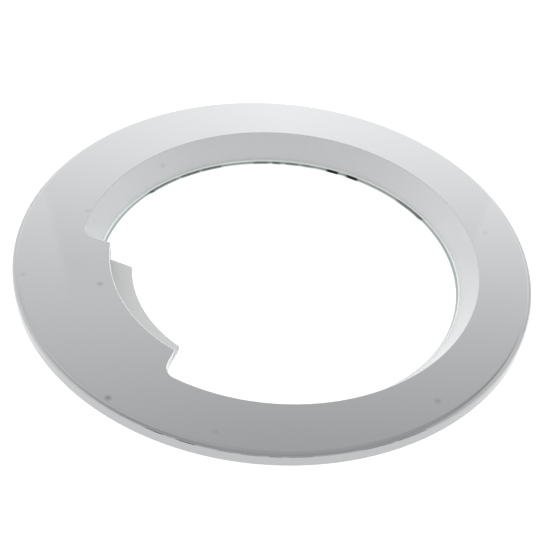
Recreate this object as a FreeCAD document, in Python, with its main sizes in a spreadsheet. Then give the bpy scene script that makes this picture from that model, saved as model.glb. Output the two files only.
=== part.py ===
import FreeCAD, Part
import math
import os
import Sketcher
from FreeCAD import Vector

# Outer frame of a washing machine door: a moulded ring with a grip, and the bright trim ring behind it.
# Millimetres, +Z out of the visible face. The origin is the centre of the outer circle, in the plane
# that the part lies on. The grip is at -X, and the opening's axis stands a little way towards +X.

doc = FreeCAD.newDocument("WashingMachineDoor")

# Driving dimensions, in millimetres and degrees
SIZES = [
    ("OuterRadius", 240.0, "outside of the frame"),
    ("FaceWidth", 55.0, "mean width of the face, from the outside to the bevel"),
    ("FaceHeight", 27.0, "visible face above the plane that the part lies on"),
    ("SkirtDepth", 12.4, "outer skirt, from the face down"),
    ("Wall", 2.8, "moulded wall of face, skirt, bevel and grip"),
    ("OuterEdgeRadius", 5.0, "rounded edge between face and skirt"),
    ("OpeningOffset", 6.5, "opening's axis from the frame's axis, away from the grip"),
    ("BevelRun", 14.4, "width of the bevel in plan"),
    ("FootHeight", 4.6, "bevel's foot above the plane that the part lies on"),
    ("FaceEdgeRadius", 0.8, "rounded edge between the face and the bevel or grip"),
    ("GripReach", 27.7, "grip's lip, from the top of the bevel into the opening"),
    ("GripHalfAngle", 28.5, "lip's corners, from the grip's middle"),
    ("GripEndAngle", 45.5, "grip's end walls, in plan, from the grip's middle line"),
    ("GripEndLean", 4.4, "lower edge of an end wall, nearer the grip's middle than its upper edge"),
    ("GripRootRadius", 11.0, "hollow corner between an end wall and the bevel"),
    ("GripTipRadius", 2.0, "rounded corners of the lip"),
    ("PocketWeb", 1.2, "finger pocket's back wall in front of the bevel"),
    ("FloorReach", 20.5, "finger pocket's floor, from under the lip's edge into the opening"),
    ("FloorHeight", 7.6, "floor's inner edge above the plane that the part lies on"),
    ("FloorSlope", 4.5, "floor's rise from its inner edge outwards"),
    ("FloorTipRadius", 3.0, "rounded corners of the floor"),
    ("TrimLedge", 3.6, "trim ring that shows inside the bevel's foot"),
    ("TrimTuck", 4.0, "trim ring's flange past the back of the bevel's foot"),
    ("TrimLip", 2.0, "thickness of the trim ring's lip"),
    ("TrimFlange", 1.8, "thickness of the trim ring's flange"),
    ("TrimStripRun", 1.8, "width in plan of the sloping strip that ends the trim ring's ledge"),
    ("TrimStripFoot", 0.8, "strip's lower edge above the plane that the part lies on"),
    ("TrimNoseRadius", 0.8, "rounded edge between the trim ring's ledge and strip"),
    ("RibGap", 5.0, "round rib behind the face, from the back of the bevel where they are nearest"),
    ("RibThickness", 1.8, "ribs behind the face"),
    ("RibInset", 1.2, "ends of the ribs above the skirt's lower edge"),
    ("RibCount", 24, "radial ribs"),
    ("BossCount", 8, "screw bosses, each on a radial rib"),
    ("BossRadius", 4.6, "outside of a screw boss"),
    ("BossEndHeight", 6.0, "end of a screw boss above the plane that the part lies on"),
    ("PilotRadius", 1.7, "pilot hole for a self-tapping screw"),
    ("PilotFloor", 4.2, "solid boss left between a pilot hole and the back of the face"),
]

sheet = doc.addObject("Spreadsheet::Sheet", "Sizes")
for row, (alias, value, meaning) in enumerate(SIZES, start=1):
    sheet.set(f"A{row}", str(value))
    sheet.setAlias(f"A{row}", alias)
    sheet.set(f"B{row}", meaning)
doc.recompute()

near = 0.02  # how closely an edge has to match the place where it is looked for
tiny = 1e-9  # a coordinate this small is on the axis


def size(expression):
    # the number that an expression of the sheet's cells has now
    return float(sheet.evalExpression(expression))


def cell(alias):
    return f"Sizes.{alias}"


def new_body(name):
    body = doc.addObject("PartDesign::Body", name)
    body.Label = name
    return body


def new_sketch(body, name, plane, across="0", lift="0"):
    # a sketch parallel to one of the body's own planes, moved across and off it
    sketch = body.newObject("Sketcher::SketchObject", name)
    support = next(p for p in body.Origin.OriginFeatures if p.Role == plane)
    sketch.AttachmentSupport = [(support, "")]
    sketch.MapMode = "FlatFace"
    sketch.setExpression("AttachmentOffset.Base.x", across)
    sketch.setExpression("AttachmentOffset.Base.z", lift)
    return sketch


def bind(sketch, kind, where, expression):
    # one dimension of a sketch, bound to the sheet
    index = sketch.addConstraint(Sketcher.Constraint(kind, *where, size(expression)))
    sketch.setExpression(f"Constraints[{index}]", expression)


def place(sketch, point, x, y):
    # a point's two coordinates, bound to the sheet; the distance itself is never negative
    for kind, axis, expression in (("DistanceX", -2, x), ("DistanceY", -1, y)):
        value = size(expression)
        if abs(value) < tiny:
            sketch.addConstraint(Sketcher.Constraint("PointOnObject", *point, axis))
        elif value > 0:
            bind(sketch, kind, (-1, 1, *point), expression)
        else:
            bind(sketch, kind, (*point, -1, 1), f"-({expression})")


def polygon(sketch, corners):
    # straight-sided outline whose corners are pairs of expressions
    points = [Vector(size(x), size(y), 0) for x, y in corners]
    count = len(points)
    for here in range(count):
        sketch.addGeometry(Part.LineSegment(points[here], points[(here + 1) % count]))
    for here in range(count):
        sketch.addConstraint(Sketcher.Constraint("Coincident", here, 2, (here + 1) % count, 1))
    for here, (x, y) in enumerate(corners):
        place(sketch, (here, 1), x, y)


def disc(sketch, x, radius):
    # circle on the sketch's horizontal axis
    index = sketch.addGeometry(Part.Circle(Vector(size(x), 0, 0), Vector(0, 0, 1), size(radius)))
    place(sketch, (index, 3), x, "0")
    bind(sketch, "Radius", (index,), radius)


def revolve(body, kind, name, sketch):
    feature = body.newObject(f"PartDesign::{kind}", name)
    feature.Profile = sketch
    feature.ReferenceAxis = (sketch, ["V_Axis"])
    feature.Angle = 360
    doc.recompute()
    return feature


def extrude(body, kind, name, sketch, length, downwards):
    feature = body.newObject(f"PartDesign::{kind}", name)
    feature.Profile = sketch
    feature.Reversed = downwards
    feature.setExpression("Length", length)
    doc.recompute()
    return feature


def repeat(body, name, features, count):
    # copies about the frame's axis
    pattern = body.newObject("PartDesign::PolarPattern", name)
    pattern.Originals = features
    pattern.Axis = (next(a for a in body.Origin.OriginFeatures if a.Role == "Z_Axis"), [""])
    pattern.Angle = 360
    pattern.setExpression("Occurrences", count)
    body.Tip = pattern
    doc.recompute()
    return pattern


def round_edges(body, name, chosen, radius):
    # fillet on the edges of the body so far that the test picks
    base = body.Tip
    edges = [f"Edge{n}" for n, edge in enumerate(base.Shape.Edges, start=1) if chosen(edge)]
    if not edges:
        raise RuntimeError(f"{name}: no edge found")
    fillet = body.newObject("PartDesign::Fillet", name)
    fillet.Base = (base, edges)
    fillet.setExpression("Radius", radius)
    doc.recompute()
    return fillet


# Places that several features share, as expressions of the sheet
outer = cell("OuterRadius")
face = cell("FaceHeight")
wall = cell("Wall")
offset = cell("OpeningOffset")
foot = cell("FootHeight")
face_back = f"({face} - {wall})"
skirt_end = f"({face} - {cell('SkirtDepth')})"
bevel_top = f"({outer} - {cell('FaceWidth')})"
bevel_foot = f"({bevel_top} - {cell('BevelRun')})"
bevel_drop = f"({face} - {foot})"
bevel_width = f"({wall} * sqrt({bevel_drop}^2 + {cell('BevelRun')}^2) / {bevel_drop})"
plate_inner = f"({bevel_top} - {offset} - {wall})"

lip = f"({bevel_top} - {cell('GripReach')})"
end_angle = cell("GripEndAngle")
lean = cell("GripEndLean")
corner_x = f"(-{lip} * cos({cell('GripHalfAngle')}))"
corner_y = f"({lip} * sin({cell('GripHalfAngle')}))"


def end_start(inset):
    # where an end wall's line starts: the lip's corner, or a point this far nearer the grip's middle
    x = f"({corner_x} - {inset} * sin({end_angle}))"
    y = f"({corner_y} - {inset} * cos({end_angle}))"
    return x, y


def end_reach(radius, inset):
    # distance along an end wall's line, from its start to a circle about the opening's axis
    x, y = end_start(inset)
    along = f"({y} * sin({end_angle}) - {x} * cos({end_angle}))"
    return f"(sqrt({along}^2 - {x}^2 - {y}^2 + {radius}^2) - {along})"


def end_point(radius, inset):
    # where an end wall meets a circle about the opening's axis
    x, y = end_start(inset)
    reach = end_reach(radius, inset)
    return f"({x} - {reach} * cos({end_angle}))", f"({y} + {reach} * sin({end_angle}))"


def at(point, side=1):
    # a pair of expressions as a vector, on either side of the grip's middle line
    return Vector(size(point[0]), side * size(point[1]), 0)


def grip_arc(sketch, radius, y):
    # arc about the opening's axis on the grip's side, whose two ends are this far from the middle line
    reach = math.asin(size(y) / size(radius))
    ring = Part.Circle(Vector(0, 0, 0), Vector(0, 0, 1), size(radius))
    return sketch.addGeometry(Part.ArcOfCircle(ring, math.pi - reach, math.pi + reach))


def grip_outline(body, name, lift, front_radius, back_radius, inset):
    # the grip in plan at one level: two arcs about the opening's axis, joined along the end walls
    sketch = new_sketch(body, name, "XY_Plane", offset, lift)
    front = end_point(front_radius, inset)
    back = end_point(back_radius, inset)
    left = sketch.addGeometry(Part.LineSegment(at(back), at(front)))
    front_arc = grip_arc(sketch, front_radius, front[1])
    right = sketch.addGeometry(Part.LineSegment(at(front, -1), at(back, -1)))
    back_arc = grip_arc(sketch, back_radius, back[1])
    meetings = [
        (left, 2, front_arc, 1),
        (front_arc, 2, right, 1),
        (right, 2, back_arc, 2),
        (back_arc, 1, left, 1),
    ]
    for meeting in meetings:
        sketch.addConstraint(Sketcher.Constraint("Coincident", *meeting))
    for arc, radius, y in ((front_arc, front_radius, front[1]), (back_arc, back_radius, back[1])):
        place(sketch, (arc, 3), "0", "0")
        bind(sketch, "Radius", (arc,), radius)
        bind(sketch, "DistanceY", (-1, 1, arc, 1), y)
        bind(sketch, "DistanceY", (arc, 2, -1, 1), y)
    return sketch


def loft(body, kind, name, upper, lower):
    # straight-sided block or cut between two outlines
    feature = body.newObject(f"PartDesign::{kind}", name)
    feature.Profile = upper
    feature.Sections = [lower]
    feature.Ruled = True
    doc.recompute()
    return feature


# Outer frame: face, skirt, bevel and grip moulded as one shell
frame = new_body("door_frame")

section = new_sketch(frame, "FaceSection", "XZ_Plane")
polygon(section, [
    (plate_inner, face_back),
    (f"({outer} - {wall})", face_back),
    (f"({outer} - {wall})", skirt_end),
    (outer, skirt_end),
    (outer, face),
    (plate_inner, face),
])
revolve(frame, "Revolution", "FaceAndSkirt", section)

# the face is cut back to the middle of the bevel's wall, so that the bevel's own surface stays whole
section = new_sketch(frame, "OpeningSection", "XZ_Plane", offset)
cut_inner = f"({plate_inner} - {offset} - {wall})"
polygon(section, [
    (cut_inner, foot),
    (f"({bevel_foot} + {bevel_width} / 2)", foot),
    (f"({bevel_top} + {bevel_width} / 2)", face),
    (cut_inner, face),
])
before = frame.Shape.Volume
revolve(frame, "Groove", "OpeningCut", section)
if frame.Shape.Volume >= before:
    raise RuntimeError("the opening isn't cut")

section = new_sketch(frame, "BevelSection", "XZ_Plane", offset)
polygon(section, [
    (bevel_foot, foot),
    (f"({bevel_foot} + {bevel_width})", foot),
    (f"({bevel_top} + {bevel_width})", face),
    (bevel_top, face),
])
revolve(frame, "Revolution", "BevelWall", section)

# the grip starts as a block whose back lies inside the bevel's wall
mid_bevel = f"({bevel_width} / 2)"
upper = grip_outline(frame, "GripUpper", face, lip, f"({bevel_top} + {mid_bevel})", "0")
lower = grip_outline(frame, "GripLower", foot, lip, f"({bevel_foot} + {mid_bevel})", lean)
loft(frame, "AdditiveLoft", "GripBlock", upper, lower)


def opening_radius(point):
    return math.hypot(point.x - size(offset), point.y)


def off_end_wall(point):
    # distance from the plane of the end wall on the point's side
    x = point.x - size(offset) - size(corner_x)
    y = abs(point.y) - size(corner_y)
    angle = math.radians(size(end_angle))
    return abs(x * math.sin(angle) + y * math.cos(angle))


def end_wall_corner(top_radius):
    # test for the edges that run down an end wall from the face, starting at this radius
    def chosen(edge):
        if len(edge.Vertexes) < 2:
            return False
        ends = sorted((v.Point for v in edge.Vertexes), key=lambda p: p.z)
        levels = abs(ends[0].z - size(foot)) < near and abs(ends[1].z - size(face)) < near
        return levels and off_end_wall(ends[1]) < near and abs(opening_radius(ends[1]) - top_radius) < near
    return chosen


def on_face_edge(edge):
    box = edge.BoundBox
    at_face = box.ZLength < near and abs(box.ZMax - size(face)) < near
    return at_face and all(opening_radius(v.Point) < size(bevel_top) + size(wall) for v in edge.Vertexes)


def on_outer_edge(edge):
    box = edge.BoundBox
    at_face = box.ZLength < near and abs(box.ZMax - size(face)) < near
    return at_face and abs(box.XMax - size(outer)) < near


# a root's fillet takes at most the end wall's length at the foot, less the rounded corner of the lip
foot_length = f"({end_reach(bevel_foot, lean)} - {end_reach(lip, lean)})"
root_radius = f"min({cell('GripRootRadius')}; {foot_length} - {cell('GripTipRadius')})"

round_edges(frame, "GripRoots", end_wall_corner(size(bevel_top)), root_radius)
round_edges(frame, "GripTips", end_wall_corner(size(lip)), cell("GripTipRadius"))
round_edges(frame, "FaceEdge", on_face_edge, cell("FaceEdgeRadius"))

# the block is hollowed from below and from the opening, which leaves the lip, two end walls and a back wall
bevel_slope = f"({cell('BevelRun')} / {bevel_drop})"
web = f"({cell('PocketWeb')} * {bevel_width} / {wall})"
cut_front = f"({lip} - 2 * {wall})"
lip_inset = f"({wall} + {lean} * {wall} / {bevel_drop})"
upper = grip_outline(frame, "PocketUpper", face_back, cut_front,
                     f"({bevel_top} - {bevel_slope} * {wall} - {web})", lip_inset)
lower = grip_outline(frame, "PocketLower", foot, cut_front, f"({bevel_foot} - {web})", f"({wall} + {lean})")
before = frame.Shape.Volume
loft(frame, "SubtractiveLoft", "Pocket", upper, lower)
if frame.Shape.Volume >= before:
    raise RuntimeError("the finger pocket isn't cut")

# Finger pocket's floor: a conical plate cut to the grip's ends, with its back inside the bevel's wall
floor = new_body("GripFloor")
floor_top = cell("FloorHeight")
rise = f"tan({cell('FloorSlope')})"
floor_inner = f"({lip} - {cell('FloorReach')})"
floor_wall = f"({wall} / cos({cell('FloorSlope')}))"
level_back = f"({bevel_foot} + {mid_bevel} + {bevel_slope} * ({floor_top} - {foot} - {rise} * {floor_inner}))"
floor_outer = f"({level_back} / (1 - {bevel_slope} * {rise}))"
back_height = f"({floor_top} + {rise} * ({floor_outer} - {floor_inner}))"
section = new_sketch(floor, "FloorSection", "XZ_Plane", offset)
polygon(section, [
    (floor_inner, f"({floor_top} - {floor_wall})"),
    (f"({floor_outer} - {bevel_slope} * {floor_wall})", f"({back_height} - {floor_wall})"),
    (floor_outer, back_height),
    (floor_inner, floor_top),
])
revolve(floor, "Revolution", "FloorCone", section)

# all of the cone that lies outside the grip's ends is cut away
floor_inset = f"({lean} * ({face} - {floor_top}) / {bevel_drop})"
inside = end_point(f"({floor_inner} - {wall})", floor_inset)
outside = end_point(outer, floor_inset)
section = new_sketch(floor, "FloorEnds", "XY_Plane", offset)
polygon(section, [
    inside,
    outside,
    (outside[0], outer),
    (outer, outer),
    (outer, f"(-{outer})"),
    (outside[0], f"(-{outer})"),
    (outside[0], f"(-{outside[1]})"),
    (inside[0], f"(-{inside[1]})"),
])
before = floor.Shape.Volume
extrude(floor, "Pocket", "FloorTrim", section, face, True)
if floor.Shape.Volume >= before:
    raise RuntimeError("the floor isn't cut to the grip")


def floor_corner(edge):
    box = edge.BoundBox
    upright = box.XLength < near and box.YLength < near and box.ZLength > near
    return upright and abs(opening_radius(edge.Vertexes[0].Point) - size(floor_inner)) < near


round_edges(floor, "FloorTips", floor_corner, cell("FloorTipRadius"))
joined = frame.newObject("PartDesign::Boolean", "GripWithFloor")
joined.setObjects([floor])
joined.Type = "Fuse"
doc.recompute()

# Back of the frame: a round rib, radial ribs out to the skirt, and screw bosses on some of them
rib = cell("RibThickness")
rib_ring = f"({bevel_top} + {bevel_width} + {offset} + {cell('RibGap')} + {rib})"
rib_root = f"({face_back} + {wall} / 2)"
rib_end = f"({skirt_end} + {cell('RibInset')})"

section = new_sketch(frame, "RibRingSection", "XZ_Plane")
polygon(section, [
    (f"({rib_ring} - {rib})", rib_end),
    (rib_ring, rib_end),
    (rib_ring, rib_root),
    (f"({rib_ring} - {rib})", rib_root),
])
revolve(frame, "Revolution", "RibRing", section)

section = new_sketch(frame, "RibOutline", "XY_Plane", "0", rib_end)
polygon(section, [
    (f"({rib_ring} - {rib} / 2)", f"(-{rib} / 2)"),
    (f"({outer} - {wall} / 2)", f"(-{rib} / 2)"),
    (f"({outer} - {wall} / 2)", f"({rib} / 2)"),
    (f"({rib_ring} - {rib} / 2)", f"({rib} / 2)"),
])
first_rib = extrude(frame, "Pad", "Rib", section, f"{rib_root} - {rib_end}", False)
repeat(frame, "Ribs", [first_rib], cell("RibCount"))

# the bosses stand midway between the round rib and the skirt
boss_end = cell("BossEndHeight")
boss_circle = f"(({rib_ring} + {outer} - {wall}) / 2)"
section = new_sketch(frame, "BossOutline", "XY_Plane", "0", boss_end)
disc(section, boss_circle, cell("BossRadius"))
first_boss = extrude(frame, "Pad", "Boss", section, f"{rib_root} - {boss_end}", False)
repeat(frame, "Bosses", [first_boss], cell("BossCount"))

section = new_sketch(frame, "PilotOutline", "XY_Plane", "0", boss_end)
disc(section, boss_circle, cell("PilotRadius"))
pilot_depth = f"{face_back} - {cell('PilotFloor')} - {boss_end}"
before = frame.Shape.Volume
first_pilot = extrude(frame, "Pocket", "Pilot", section, pilot_depth, True)
repeat(frame, "Pilots", [first_pilot], cell("BossCount"))
if frame.Shape.Volume >= before:
    raise RuntimeError("the pilot holes aren't cut")

# the outer edge is rounded last, so that the ribs' ends inside the wall can't show through it
round_edges(frame, "OuterEdge", on_outer_edge, cell("OuterEdgeRadius"))

# Trim ring: a lip round the opening with a sloping strip, and a flange that the bevel's foot sits on
trim = new_body("trim_ring")
lip_inner = f"({bevel_foot} - {cell('TrimLedge')})"
flange_outer = f"({bevel_foot} + {bevel_width} + {cell('TrimTuck')})"
lip_outer = f"({lip_inner} + {cell('TrimLip')})"
ledge_inner = f"({lip_inner} + {cell('TrimStripRun')})"
flange_back = f"({foot} - {cell('TrimFlange')})"

section = new_sketch(trim, "TrimSection", "XZ_Plane", offset)
polygon(section, [
    (lip_inner, "0"),
    (lip_outer, "0"),
    (lip_outer, flange_back),
    (flange_outer, flange_back),
    (flange_outer, foot),
    (ledge_inner, foot),
    (lip_inner, cell("TrimStripFoot")),
])
revolve(trim, "Revolution", "LipAndFlange", section)


def on_nose(edge):
    box = edge.BoundBox
    at_ledge = box.ZLength < near and abs(box.ZMax - size(foot)) < near
    return at_ledge and abs(box.XLength / 2 - size(ledge_inner)) < near


round_edges(trim, "Nose", on_nose, cell("TrimNoseRadius"))

# Every feature and solid is sound before anything is written
doc.recompute()
for item in doc.Objects:
    if "Invalid" in item.State or "Error" in item.State:
        raise RuntimeError(f"{item.Label} failed: {item.State}")
os.makedirs("parts", exist_ok=True)
for body in (frame, trim):
    shape = body.Shape
    if shape.isNull() or not shape.isValid() or len(shape.Solids) != 1:
        raise RuntimeError(f"{body.Label} isn't one sound solid")
    shape.exportStep(f"parts/{body.Label}.step")
    print(f"{body.Label}: {shape.Volume / 1000:.1f} cm3")
print(f"screw bosses on a circle of {2 * size(boss_circle):.2f} mm")
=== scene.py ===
import math

import bpy
import numpy as np
from mathutils import Matrix, Vector


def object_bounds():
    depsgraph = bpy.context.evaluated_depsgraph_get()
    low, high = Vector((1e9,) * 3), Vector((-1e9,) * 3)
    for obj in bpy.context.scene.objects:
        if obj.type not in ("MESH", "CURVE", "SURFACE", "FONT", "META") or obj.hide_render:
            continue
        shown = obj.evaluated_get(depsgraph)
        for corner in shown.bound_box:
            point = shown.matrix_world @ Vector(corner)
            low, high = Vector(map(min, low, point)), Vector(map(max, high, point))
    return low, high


# Outer frame of a washing machine door: silver-lacquered moulding with a bright trim ring
# Metres, +Z out of the face, the grip at -X

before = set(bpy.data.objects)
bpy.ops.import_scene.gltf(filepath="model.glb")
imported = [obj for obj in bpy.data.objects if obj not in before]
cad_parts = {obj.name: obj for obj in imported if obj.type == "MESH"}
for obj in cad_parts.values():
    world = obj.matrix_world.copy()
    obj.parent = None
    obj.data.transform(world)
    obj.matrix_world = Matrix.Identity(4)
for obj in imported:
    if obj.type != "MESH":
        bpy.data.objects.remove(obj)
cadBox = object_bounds()
scene = bpy.context.scene
print("frame loaded:", ", ".join(sorted(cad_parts)))


def mm(value):
    return value / 1000.0


def srgb(hexCode):
    # sRGB hex to the linear colour that the shaders take
    parts = np.array([int(hexCode[i:i + 2], 16) for i in (1, 3, 5)]) / 255.0
    linear = np.where(parts <= 0.04045, parts / 12.92, ((parts + 0.055) / 1.055) ** 2.4)
    return (*linear.tolist(), 1.0)


def addNode(tree, kind, inputs=None, output=0, **settings):
    # adds a node and gives one of its outputs; an input is either a value or another node's output
    node = tree.nodes.new(kind)
    for name, value in settings.items():
        setattr(node, name, value)
    for name, value in (inputs or {}).items():
        if isinstance(value, bpy.types.NodeSocket):
            tree.links.new(value, node.inputs[name])
        else:
            node.inputs[name].default_value = value
    return node.outputs[output] if node.outputs else None


def softWindow(tree, value, low, high, soft):
    # 1 between low and high, 0 outside, with edges this soft
    sides = []
    for edge, before, after in ((low, 0.0, 1.0), (high, 1.0, 0.0)):
        side = addNode(tree, "ShaderNodeMapRange", {"Value": value, "From Min": edge - soft,
                                                    "From Max": edge + soft, "To Min": before,
                                                    "To Max": after}, interpolation_type="SMOOTHSTEP")
        sides.append(side)
    return addNode(tree, "ShaderNodeMath", {0: sides[0], 1: sides[1]}, operation="MULTIPLY")


def distanceFromAxis(tree, place, axis):
    # length of the level part of the way from an upright axis
    away = addNode(tree, "ShaderNodeVectorMath", {0: place, 1: axis}, operation="SUBTRACT")
    level = addNode(tree, "ShaderNodeVectorMath", {0: away, 1: (1.0, 1.0, 0.0)}, operation="MULTIPLY")
    return addNode(tree, "ShaderNodeVectorMath", {0: level}, "Value", operation="LENGTH")


# Camera
shot = {
    "lens": 110.0,                      # mm
    "sensor": 36.0,                     # mm across
    "heading": 29.293,                  # degrees from +Y towards +X, the way the camera looks
    "elevation": 42.666,                # degrees above the face
    "roll": 5.309,                      # degrees, right side raised
    "distance": mm(1515.8),
    "aim": (mm(-10.5), mm(-13.26), cadBox[1].z),    # the point of the face's plane in the picture's middle
    "clip": (0.05, 100.0),
}


def makeCamera(setup):
    # axes: forward from heading and elevation, then right and up turned by the roll
    heading, elevation, roll = (math.radians(setup[k]) for k in ("heading", "elevation", "roll"))
    ahead = Vector((math.sin(heading), math.cos(heading), 0.0))
    forward = ahead * math.cos(elevation) - Vector((0.0, 0.0, math.sin(elevation)))
    level = Vector((math.cos(heading), -math.sin(heading), 0.0))
    upright = level.cross(forward)
    right = math.cos(roll) * level + math.sin(roll) * upright
    up = math.cos(roll) * upright - math.sin(roll) * level
    data = bpy.data.cameras.new("camera")
    data.lens = setup["lens"]
    data.sensor_width = setup["sensor"]
    data.clip_start, data.clip_end = setup["clip"]
    camera = bpy.data.objects.new("camera", data)
    place = Vector(setup["aim"]) - forward * setup["distance"]
    turn = Matrix((right, up, -forward)).transposed().to_4x4()
    camera.matrix_world = Matrix.Translation(place) @ turn
    scene.collection.objects.link(camera)
    scene.camera = camera


makeCamera(shot)
scene.view_settings.view_transform = "Standard"     # keeps the pale floor white
print("camera placed")

# Studio: a bright tent, with a slightly darker opening behind the part and dark stands round the camera
# Elevations and bearings are in degrees, bearings to the right of the way the camera looks
studio = {
    "strength": 2.0,                    # radiance of a value of 1
    # the tent's walls: elevation and value
    "behind": [(0, 0.7), (20, 0.95), (32, 1.06), (36, 1.05), (39, 0.91), (42, 0.68), (45, 0.52), (48, 0.38),
               (52, 0.3), (60, 0.32), (70, 0.33), (90, 0.33)],
    "left": [(0, 0.56), (15, 0.62), (30, 0.58), (40, 0.42), (47, 0.62), (55, 0.52), (90, 0.35)],
    "right": [(0, 0.42), (15, 0.56), (30, 0.58), (38, 0.52), (45, 0.22), (60, 0.33), (90, 0.33)],
    "before": [(0, 0.48), (12, 0.44), (25, 0.3), (40, 0.27), (55, 0.29), (90, 0.33)],
    "zenith": 90.0,                     # elevation at the upper end of the walls
    # bearings over which behind passes into left or right, and these into before
    "turns": [(0.0, 45.0), (70.0, 120.0)],
    "opening": {
        "left": -10.55, "right": 9.28, "low": 15.0, "high": 43.3,
        "loss": 0.043,                  # value taken off the tent's
        "softAcross": 0.08, "softUpward": 1.2,
        "lean": 0.031, "level": 40.0,   # its sides draw together by this share a degree above this level
    },
    # how far each stand lies to the camera's right, from and to, and the share of light that it takes
    "stands": [(-41.6, -34.6, 0.93), (-29.5, -22.5, 0.93), (-13.9, -8.0, 0.3), (-5.5, 2.0, 0.4),
               (5.0, 9.5, 0.6), (12.0, 20.8, 0.45), (39.8, 51.6, 0.5), (53.0, 64.5, 0.55)],
    "standFoot": -2.0,
    "standTop": 15.0,
    "standSoftAcross": 0.8,
    "standSoftUpward": 1.5,
}


def tentLight(tree, setup, elevation, bearing):
    # each wall is a ramp over elevation, and the walls pass into one another by bearing
    share = addNode(tree, "ShaderNodeMath", {0: elevation, 1: setup["zenith"]}, operation="DIVIDE")
    walls = {}
    for part in ("behind", "left", "right", "before"):
        walls[part] = addNode(tree, "ShaderNodeValToRGB", {0: share})
        ramp = walls[part].node.color_ramp
        ramp.interpolation = "B_SPLINE"
        stops = setup[part]
        while len(ramp.elements) < len(stops):
            ramp.elements.new(0.5)      # any place will do, the next loop sets it
        for element, (stop, value) in zip(ramp.elements, stops):
            element.position = stop / setup["zenith"]
            element.color = (value, value, value, 1.0)
    rightward = addNode(tree, "ShaderNodeMath", {0: bearing, 1: 0.0}, operation="GREATER_THAN")
    beside = addNode(tree, "ShaderNodeMix", {0: rightward, 6: walls["left"], 7: walls["right"]}, 2,
                     data_type="RGBA")
    away = addNode(tree, "ShaderNodeMath", {0: bearing}, operation="ABSOLUTE")
    tent = walls["behind"]
    for wall, (start, end) in zip((beside, walls["before"]), setup["turns"]):
        past = addNode(tree, "ShaderNodeMapRange", {"Value": away, "From Min": start, "From Max": end})
        tent = addNode(tree, "ShaderNodeMix", {0: past, 6: tent, 7: wall}, 2, data_type="RGBA")
    return tent


def openingLoss(tree, setup, elevation, bearing):
    # a window in bearing and elevation, with the bearing spread more the higher it is
    atHorizon = 1.0 - setup["lean"] * setup["level"]
    spread = addNode(tree, "ShaderNodeMath", {0: elevation, 1: setup["lean"], 2: atHorizon},
                     operation="MULTIPLY_ADD")
    leaning = addNode(tree, "ShaderNodeMath", {0: bearing, 1: spread}, operation="MULTIPLY")
    across = softWindow(tree, leaning, setup["left"], setup["right"], setup["softAcross"])
    upward = softWindow(tree, elevation, setup["low"], setup["high"], setup["softUpward"])
    hole = addNode(tree, "ShaderNodeMath", {0: across, 1: upward}, operation="MULTIPLY")
    return addNode(tree, "ShaderNodeMath", {0: hole, 1: setup["loss"]}, operation="MULTIPLY")


def makeStudio(setup, headingDegrees):
    world = bpy.data.worlds.new("studio_tent")
    world.use_nodes = True
    tree = world.node_tree
    tree.nodes.clear()
    heading = math.radians(headingDegrees)
    sight = addNode(tree, "ShaderNodeTexCoord", output="Generated")
    onward = (math.sin(heading), math.cos(heading), 0.0)
    sideways = (math.cos(heading), -math.sin(heading), 0.0)
    ahead = addNode(tree, "ShaderNodeVectorMath", {0: sight, 1: onward}, "Value", operation="DOT_PRODUCT")
    aside = addNode(tree, "ShaderNodeVectorMath", {0: sight, 1: sideways}, "Value", operation="DOT_PRODUCT")
    height = addNode(tree, "ShaderNodeSeparateXYZ", {0: sight}, "Z")
    rise = addNode(tree, "ShaderNodeMath", {0: height}, operation="ARCSINE")
    elevation = addNode(tree, "ShaderNodeMath", {0: rise}, operation="DEGREES")
    turned = addNode(tree, "ShaderNodeMath", {0: aside, 1: ahead}, operation="ARCTAN2")
    bearing = addNode(tree, "ShaderNodeMath", {0: turned}, operation="DEGREES")
    tent = tentLight(tree, setup, elevation, bearing)
    loss = openingLoss(tree, setup["opening"], elevation, bearing)
    light = addNode(tree, "ShaderNodeVectorMath", {0: tent, 1: loss}, operation="SUBTRACT")

    # the stands' bearings are counted from the camera's side of the tent
    backward = addNode(tree, "ShaderNodeMath", {0: ahead, 1: -1.0}, operation="MULTIPLY")
    turnedBack = addNode(tree, "ShaderNodeMath", {0: aside, 1: backward}, operation="ARCTAN2")
    fromCamera = addNode(tree, "ShaderNodeMath", {0: turnedBack}, operation="DEGREES")
    low = softWindow(tree, elevation, setup["standFoot"], setup["standTop"], setup["standSoftUpward"])
    for left, right, taken in setup["stands"]:
        stand = softWindow(tree, fromCamera, left, right, setup["standSoftAcross"])
        shade = addNode(tree, "ShaderNodeMath", {0: stand, 1: low}, operation="MULTIPLY")
        passed = addNode(tree, "ShaderNodeMapRange", {"Value": shade, "To Min": 1.0, "To Max": 1.0 - taken})
        light = addNode(tree, "ShaderNodeVectorMath", {0: light, 1: passed}, operation="MULTIPLY")
    background = addNode(tree, "ShaderNodeBackground", {"Color": light, "Strength": setup["strength"]})
    addNode(tree, "ShaderNodeOutputWorld", {"Surface": background})
    scene.world = world


makeStudio(studio, shot["heading"])

# Floor: white acrylic sheet lit from below, which shows as an even white
floorSheet = {
    "half": 4.0,                        # half its width
    "colour": "#808080",
    "roughness": 0.9,
    "specular": 0.0,
    "glowColour": "#ffffff",
    "glow": 1.05,
}


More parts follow.
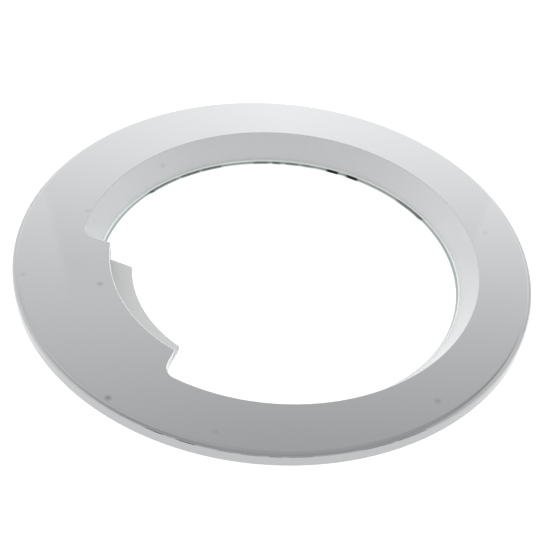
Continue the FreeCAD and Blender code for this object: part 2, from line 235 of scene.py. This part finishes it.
def makeFloor(sheet):
    # a square at the part's lowest level
    corners = np.array([(-1, -1), (1, -1), (1, 1), (-1, 1)]) * sheet["half"]
    mesh = bpy.data.meshes.new("floor")
    mesh.from_pydata([(x, y, cadBox[0].z) for x, y in corners.tolist()], [], [(0, 1, 2, 3)])
    floor = bpy.data.objects.new("floor", mesh)
    scene.collection.objects.link(floor)
    material = bpy.data.materials.new("white_light_table")
    material.use_nodes = True
    shader = material.node_tree.nodes["Principled BSDF"]
    shader.inputs["Base Color"].default_value = srgb(sheet["colour"])
    shader.inputs["Roughness"].default_value = sheet["roughness"]
    shader.inputs["Specular IOR Level"].default_value = sheet["specular"]
    shader.inputs["Emission Color"].default_value = srgb(sheet["glowColour"])
    shader.inputs["Emission Strength"].default_value = sheet["glow"]
    mesh.materials.append(material)


makeFloor(floorSheet)
print("studio and floor made")

# Silver lacquer on moulded ABS: face and rim mirror the studio, with faint flakes and waves in the lacquer,
# the bevel and the finger pocket are pale and satin, with painted shade darkening the pocket and a painted
# highlight on the lip's edge, and the back is dull bare plastic
silverLacquer = {
    "face": {"base": "#b3b4b5", "metallic": 0.85, "roughness": 0.03},
    "recess": {"base": "#dadcdd", "metallic": 0.35, "roughness": 0.5},  # bevel and finger pocket
    "bare": {"base": "#a4a6a7", "metallic": 0.0, "roughness": 0.55},    # back, without lacquer
    "coat": {"Coat Weight": 0.3, "Coat Roughness": 0.03, "Coat IOR": 1.5},
    "pocket": "#d1d3d3",                # finger pocket, painted a little darker than the bevel as shade under the lip
    "lipPaintedHighlight": "#f6f7f8",              # painted highlight: the rounded edge of the grip's lip is coloured brighter to stand in for its shine
    "flake": mm(0.9),                   # real flakes are about 0.03 mm; drawn coarser so that they show
    "flakeDepth": 0.035,
    "flakeRange": (0.25, 0.75),         # of the noise that draws them
    "peel": mm(5.0),                    # waves of the sprayed coat
    "peelHeight": mm(0.0006),
    # where each finish lies; the first radii are about the frame's axis
    "outerRadius": cadBox[1].x,
    "faceHeight": cadBox[1].z,
    "rounding": mm(5.0),                # radius of the outer edge's rounding
    "roundingZone": mm(230.0),          # its exact normal is used outside this radius
    "alike": 0.8,                       # and where the mesh's normal is as near to it as this cosine
    "openingAxis": (mm(6.5), 0.0, 0.0),         # the next radii are about this
    "bevelTop": mm(185.0),              # face's inner edge
    "bevelTopSoft": mm(0.5),
    "bevelRun": mm(14.4),
    "bevelDepth": mm(22.4),
    "recessSoft": mm(0.1),              # depth over which the face passes into the recess
    "skin": mm(1.5),                    # about half the wall, to where the lacquer reaches
    "pocketReach": mm(169.0),           # finger pocket, inside this radius
    "lipReach": mm(180.0),              # lip, inside this radius
    "lipReachSoft": mm(2.0),
    "lipEdge": mm(1.0),                 # depth of the lip's rounded edge
    "lipEdgeStart": mm(0.06),
    "lipEdgeSoft": mm(0.03),
    # dust: place on the face, or on the bevel, in mm, and share of the light that it takes
    "dust": [((-206.3, -105.7, 27.0), 0.36), ((-161.7, 26.6, 27.0), 0.2), ((52.4, -214.4, 27.0), 0.2),
             ((-138.2, -174.5, 27.0), 0.1), ((204.5, -41.9, 27.0), 0.08), ((-135.6, 124.2, 27.0), 0.1),
             ((-221.4, 63.6, 27.0), 0.08), ((-38.0, 172.6, 16.3), 0.12)],
    "dustSize": (mm(0.5), mm(4.6)),     # full within the first distance, gone at the second
}


def recessMask(tree, look, radius, depth):
    # inside the face's inner edge and below the face, or below the lip's rounded edge
    inside = addNode(tree, "ShaderNodeMapRange", {"Value": radius, "From Min": look["bevelTop"],
                                                  "From Max": look["bevelTop"] + look["bevelTopSoft"],
                                                  "To Min": 1.0, "To Max": 0.0})
    edge = addNode(tree, "ShaderNodeMapRange", {"Value": radius, "From Min": look["lipReach"],
                                                "From Max": look["lipReach"] + look["lipReachSoft"],
                                                "To Min": look["lipEdge"], "To Max": 0.0})
    under = addNode(tree, "ShaderNodeMath", {0: depth, 1: edge}, operation="SUBTRACT")
    below = addNode(tree, "ShaderNodeMapRange", {"Value": under, "From Max": look["recessSoft"]})
    return addNode(tree, "ShaderNodeMath", {0: inside, 1: below}, operation="MULTIPLY")


def backMask(tree, look, radius, reach, depth):
    # under the face, within the skirt and outside the bevel
    slope = look["bevelRun"] / look["bevelDepth"]
    bevelWall = addNode(tree, "ShaderNodeMath", {0: depth, 1: -slope, 2: look["bevelTop"] + look["skin"]},
                        operation="MULTIPLY_ADD")
    past = addNode(tree, "ShaderNodeMath", {0: radius, 1: bevelWall}, operation="GREATER_THAN")
    under = addNode(tree, "ShaderNodeMath", {0: depth, 1: look["skin"]}, operation="GREATER_THAN")
    inSkirt = addNode(tree, "ShaderNodeMath", {0: reach, 1: look["outerRadius"] - look["skin"]},
                      operation="LESS_THAN")
    hidden = addNode(tree, "ShaderNodeMath", {0: past, 1: under}, operation="MULTIPLY")
    return addNode(tree, "ShaderNodeMath", {0: hidden, 1: inSkirt}, operation="MULTIPLY")


def lacquerColour(tree, look, place, radius, depth, recess, back):
    # face, recess, pocket with painted shade, painted highlight on the lip's edge, and back, then flakes
    # and dust over all
    # painted shade: the finger pocket under the lip gets a darker colour than the bevel
    inShadedPocket = addNode(tree, "ShaderNodeMath", {0: radius, 1: look["pocketReach"]}, operation="LESS_THAN")
    satin = addNode(tree, "ShaderNodeMix", {0: inShadedPocket, 6: srgb(look["recess"]["base"]),
                                            7: srgb(look["pocket"])}, 2, data_type="RGBA")
    # painted highlight: a brighter colour on the lip's rounded edge stands in for the shine that it
    # reflects
    onEdge = softWindow(tree, depth, look["lipEdgeStart"], look["lipEdge"], look["lipEdgeSoft"])
    within = addNode(tree, "ShaderNodeMath", {0: radius, 1: look["lipReach"]}, operation="LESS_THAN")
    paintedHighlight = addNode(tree, "ShaderNodeMath", {0: onEdge, 1: within}, operation="MULTIPLY")
    colour = srgb(look["face"]["base"])
    bare = srgb(look["bare"]["base"])
    for mask, paint in ((recess, satin), (paintedHighlight, srgb(look["lipPaintedHighlight"])), (back, bare)):
        colour = addNode(tree, "ShaderNodeMix", {0: mask, 6: colour, 7: paint}, 2, data_type="RGBA")

    flakes = addNode(tree, "ShaderNodeTexNoise", {"Vector": place, "Scale": 1.0 / look["flake"],
                                                  "Detail": 1.0})
    low, high = look["flakeRange"]
    tone = addNode(tree, "ShaderNodeMapRange", {"Value": flakes, "From Min": low, "From Max": high,
                                                "To Min": 1.0 - look["flakeDepth"],
                                                "To Max": 1.0 + look["flakeDepth"]})
    colour = addNode(tree, "ShaderNodeVectorMath", {0: colour, 1: tone}, operation="MULTIPLY")
    full, gone = look["dustSize"]
    for spot, taken in look["dust"]:
        apart = addNode(tree, "ShaderNodeVectorMath", {0: place, 1: [mm(c) for c in spot]}, "Value",
                        operation="DISTANCE")
        passed = addNode(tree, "ShaderNodeMapRange", {"Value": apart, "From Min": full, "From Max": gone,
                                                      "To Min": 1.0 - taken},
                         interpolation_type="SMOOTHSTEP")
        colour = addNode(tree, "ShaderNodeVectorMath", {0: colour, 1: passed}, operation="MULTIPLY")
    return colour


def rimNormal(tree, look, place, reach, height):
    # normal of face, rounding and skirt: away from the rounding's core circle, outwards and upwards only;
    # the mesh has it averaged between its corners, which shows in the rim
    level = addNode(tree, "ShaderNodeVectorMath", {0: place, 1: (1.0, 1.0, 0.0)}, operation="MULTIPLY")
    ray = addNode(tree, "ShaderNodeVectorMath", {0: level}, operation="NORMALIZE")
    beyond = addNode(tree, "ShaderNodeMath", {0: reach, 1: look["outerRadius"] - look["rounding"]},
                     operation="SUBTRACT", use_clamp=True)
    above = addNode(tree, "ShaderNodeMath", {0: height, 1: look["faceHeight"] - look["rounding"]},
                    operation="SUBTRACT", use_clamp=True)
    outward = addNode(tree, "ShaderNodeVectorMath", {0: ray, "Scale": beyond}, operation="SCALE")
    upward = addNode(tree, "ShaderNodeCombineXYZ", {"Z": above})
    spoke = addNode(tree, "ShaderNodeVectorMath", {0: outward, 1: upward}, operation="ADD")
    exact = addNode(tree, "ShaderNodeVectorMath", {0: spoke}, operation="NORMALIZE")
    given = addNode(tree, "ShaderNodeNewGeometry", output="Normal")
    cosine = addNode(tree, "ShaderNodeVectorMath", {0: exact, 1: given}, "Value", operation="DOT_PRODUCT")
    outside = addNode(tree, "ShaderNodeMath", {0: cosine, 1: look["alike"]}, operation="GREATER_THAN")
    onRim = addNode(tree, "ShaderNodeMath", {0: reach, 1: look["roundingZone"]}, operation="GREATER_THAN")
    chosen = addNode(tree, "ShaderNodeMath", {0: outside, 1: onRim}, operation="MULTIPLY")
    return addNode(tree, "ShaderNodeMix", {0: chosen, 4: given, 5: exact}, 1, data_type="VECTOR")


def makeSilverLacquer(look):
    material = bpy.data.materials.new("abs_moulded_silver_lacquer")
    material.use_nodes = True
    tree = material.node_tree
    shader = tree.nodes["Principled BSDF"]
    place = addNode(tree, "ShaderNodeTexCoord", output="Object")
    height = addNode(tree, "ShaderNodeSeparateXYZ", {0: place}, "Z")
    depth = addNode(tree, "ShaderNodeMath", {0: look["faceHeight"], 1: height}, operation="SUBTRACT")
    radius = distanceFromAxis(tree, place, look["openingAxis"])
    reach = distanceFromAxis(tree, place, (0.0, 0.0, 0.0))
    recess = recessMask(tree, look, radius, depth)
    back = backMask(tree, look, radius, reach, depth)
    for name in ("metallic", "roughness"):
        front = addNode(tree, "ShaderNodeMapRange", {"Value": recess, "To Min": look["face"][name],
                                                     "To Max": look["recess"][name]})
        blend = addNode(tree, "ShaderNodeMix", {0: back, 2: front, 3: look["bare"][name]})
        tree.links.new(blend, shader.inputs[name.capitalize()])
    colour = lacquerColour(tree, look, place, radius, depth, recess, back)
    tree.links.new(colour, shader.inputs["Base Color"])

    normal = rimNormal(tree, look, place, reach, height)
    peel = addNode(tree, "ShaderNodeTexNoise", {"Vector": place, "Scale": 1.0 / look["peel"],
                                                "Detail": 0.0})
    waves = addNode(tree, "ShaderNodeBump", {"Height": peel, "Distance": look["peelHeight"],
                                             "Strength": 1.0, "Normal": normal})
    for name in ("Normal", "Coat Normal"):
        tree.links.new(waves, shader.inputs[name])
    for name, value in look["coat"].items():
        shader.inputs[name].default_value = value
    return material


# Bright plating on moulded ABS: a half-satin ledge whose whitened colour is a painted highlight, a smoked
# green-grey mirror inside it
brightPlating = {
    # the ledge's half-satin finish is real, its whitened base colour is a painted highlight for its bright
    # edge line
    "ledge": {"base": "#eaefed", "metallic": 0.5, "roughness": 0.25},
    "band": {"base": "#98a19f", "metallic": 1.0, "roughness": 0.05},    # along the inner edge
    "bandAxis": (mm(6.33), mm(-0.57), 0.0),     # a little off the ring's own
    "bandRadius": mm(168.75),           # its outer edge
    "bandFoot": mm(1.6),                # height of the smoked colour's lower edge
    "haze": mm(6.0),                    # patches of less even plating
    "hazeDepth": 0.02,
    "hazeRange": (0.3, 0.7),            # of the noise that draws them
}


def makeBrightPlating(look):
    material = bpy.data.materials.new("abs_moulded_bright_plated")
    material.use_nodes = True
    tree = material.node_tree
    shader = tree.nodes["Principled BSDF"]
    ledge, band = look["ledge"], look["band"]
    place = addNode(tree, "ShaderNodeTexCoord", output="Object")
    height = addNode(tree, "ShaderNodeSeparateXYZ", {0: place}, "Z")
    radius = distanceFromAxis(tree, place, look["bandAxis"])
    inner = addNode(tree, "ShaderNodeMath", {0: radius, 1: look["bandRadius"]}, operation="LESS_THAN")
    upper = addNode(tree, "ShaderNodeMath", {0: height, 1: look["bandFoot"]}, operation="GREATER_THAN")
    smoked = addNode(tree, "ShaderNodeMath", {0: inner, 1: upper}, operation="MULTIPLY")
    # outside the band the whitened ledge colour, a painted highlight
    colour = addNode(tree, "ShaderNodeMix", {0: smoked, 6: srgb(ledge["base"]), 7: srgb(band["base"])}, 2,
                     data_type="RGBA")
    haze = addNode(tree, "ShaderNodeTexNoise", {"Vector": place, "Scale": 1.0 / look["haze"],
                                                "Detail": 2.0})
    low, high = look["hazeRange"]
    rough = addNode(tree, "ShaderNodeMapRange", {"Value": haze, "From Min": low, "From Max": high,
                                                 "To Min": band["roughness"] - look["hazeDepth"],
                                                 "To Max": band["roughness"] + look["hazeDepth"]})
    gloss = addNode(tree, "ShaderNodeMix", {0: inner, 2: ledge["roughness"], 3: rough})
    metal = addNode(tree, "ShaderNodeMix", {0: inner, 2: ledge["metallic"], 3: band["metallic"]})
    for name, value in (("Base Color", colour), ("Roughness", gloss), ("Metallic", metal)):
        tree.links.new(value, shader.inputs[name])
    return material


finishes = {"door_frame": makeSilverLacquer(silverLacquer), "trim_ring": makeBrightPlating(brightPlating)}
for name, finish in finishes.items():
    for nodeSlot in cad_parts[name].material_slots:
        nodeSlot.material = finish
print("finishes set")
